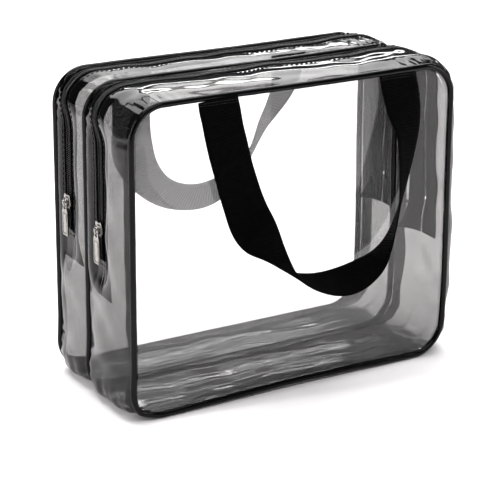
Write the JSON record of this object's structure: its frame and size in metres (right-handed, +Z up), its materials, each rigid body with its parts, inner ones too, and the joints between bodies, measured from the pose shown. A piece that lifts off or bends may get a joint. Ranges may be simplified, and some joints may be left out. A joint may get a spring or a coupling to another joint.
{
  "type": "toiletry bag",
  "caption": "Clear PVC toiletry bag with smoke gussets, black piping, two zipped compartments side by side and a webbing handle on each large face.",
  "frame": {"origin": "middle of the underside, on the surface that the bag stands on, half way between the front and back panels", "axes": "+Z up, +X along the bag's width to the right as seen from the front, +Y from the front panel to the back panel"},
  "size_m": [0.2786, 0.1829, 0.2368],
  "materials": {
    "clear_pvc": "clear flexible PVC sheet",
    "smoke_pvc": "smoke-tinted flexible PVC sheet",
    "piping_pvc": "black gloss PVC piping",
    "seam_binding": "dark PVC seam allowance",
    "zip_tape": "black woven polyester zip tape",
    "zip_coil": "black nylon coil",
    "nickel_plate": "nickel-plated die casting",
    "webbing": "black ribbed webbing"
  },
  "bodies": {
    "bag": {"front_panel_lower": "clear_pvc", "front_piping_lower": "piping_pvc", "front_gusset_lower": "smoke_pvc", "front_gusset_divider_strip": "smoke_pvc", "front_binding_lower": "seam_binding", "front_zip_tape_divider_side": "zip_tape", "front_zip_coil_divider_side": "zip_coil", "front_zip_tape_left_end": "zip_tape", "front_zip_coil_left_end": "zip_coil", "front_zip_tape_right_end": "zip_tape", "front_zip_coil_right_end": "zip_coil", "front_zip_stop_left": "zip_coil", "front_zip_stop_right": "zip_coil", "back_panel_lower": "clear_pvc", "back_piping_lower": "piping_pvc", "back_gusset_lower": "smoke_pvc", "back_gusset_divider_strip": "smoke_pvc", "back_binding_lower": "seam_binding", "back_zip_tape_divider_side": "zip_tape", "back_zip_coil_divider_side": "zip_coil", "back_zip_tape_left_end": "zip_tape", "back_zip_coil_left_end": "zip_coil", "back_zip_tape_right_end": "zip_tape", "back_zip_coil_right_end": "zip_coil", "back_zip_stop_left": "zip_coil", "back_zip_stop_right": "zip_coil", "divider_panel": "clear_pvc", "divider_piping": "piping_pvc", "divider_binding": "seam_binding"},
    "front_flap": {"front_panel_upper": "clear_pvc", "front_piping_upper": "piping_pvc", "front_gusset_flap_strip": "smoke_pvc", "front_binding_upper": "seam_binding", "front_zip_tape_flap_side": "zip_tape", "front_zip_coil_flap_side": "zip_coil", "front_handle_tab_left": "webbing", "front_handle_tab_right": "webbing"},
    "back_flap": {"back_panel_upper": "clear_pvc", "back_piping_upper": "piping_pvc", "back_gusset_flap_strip": "smoke_pvc", "back_binding_upper": "seam_binding", "back_zip_tape_flap_side": "zip_tape", "back_zip_coil_flap_side": "zip_coil", "back_handle_tab_left": "webbing", "back_handle_tab_right": "webbing"},
    "front_handle": {"front_handle_strap": "webbing"},
    "back_handle": {"back_handle_strap": "webbing"},
    "front_slider": {"front_slider_body": "nickel_plate"},
    "back_slider": {"back_slider_body": "nickel_plate"},
    "front_pull": {"front_pull_tab": "nickel_plate"},
    "back_pull": {"back_pull_tab": "nickel_plate"}
  },
  "joints": [
    {"name": "front_flap_fold", "type": "hinge", "parent": "bag", "child": "front_flap", "pos_m": [0, -0.0624, 0.075], "axis": [1, 0, 0], "range_deg": [0, 22], "stiffness_Nm_per_rad": 0.05},
    {"name": "back_flap_fold", "type": "hinge", "parent": "bag", "child": "back_flap", "pos_m": [0, 0.0624, 0.075], "axis": [-1, 0, 0], "range_deg": [0, 22], "stiffness_Nm_per_rad": 0.05},
    {"name": "front_handle_swing", "type": "hinge", "parent": "front_flap", "child": "front_handle", "pos_m": [0, -0.0652, 0.227], "axis": [-1, 0, 0], "range_deg": [0, 186]},
    {"name": "back_handle_swing", "type": "hinge", "parent": "back_flap", "child": "back_handle", "pos_m": [0, 0.0652, 0.227], "axis": [1, 0, 0], "range_deg": [0, 186]},
    {"name": "front_slider_run", "type": "slide", "parent": "bag", "child": "front_slider", "axis": [0, 0, -1], "range_m": [-0.055, 0.013]},
    {"name": "back_slider_run", "type": "slide", "parent": "bag", "child": "back_slider", "axis": [0, 0, -1], "range_m": [-0.055, 0.013]},
    {"name": "front_pull_swing", "type": "hinge", "parent": "front_slider", "child": "front_pull", "pos_m": [-0.1389, -0.012, 0.134], "axis": [0, 1, 0], "range_deg": [0, 170]},
    {"name": "back_pull_swing", "type": "hinge", "parent": "back_slider", "child": "back_pull", "pos_m": [-0.1389, 0.0395, 0.1405], "axis": [0, 1, 0], "range_deg": [0, 170]}
  ]
}
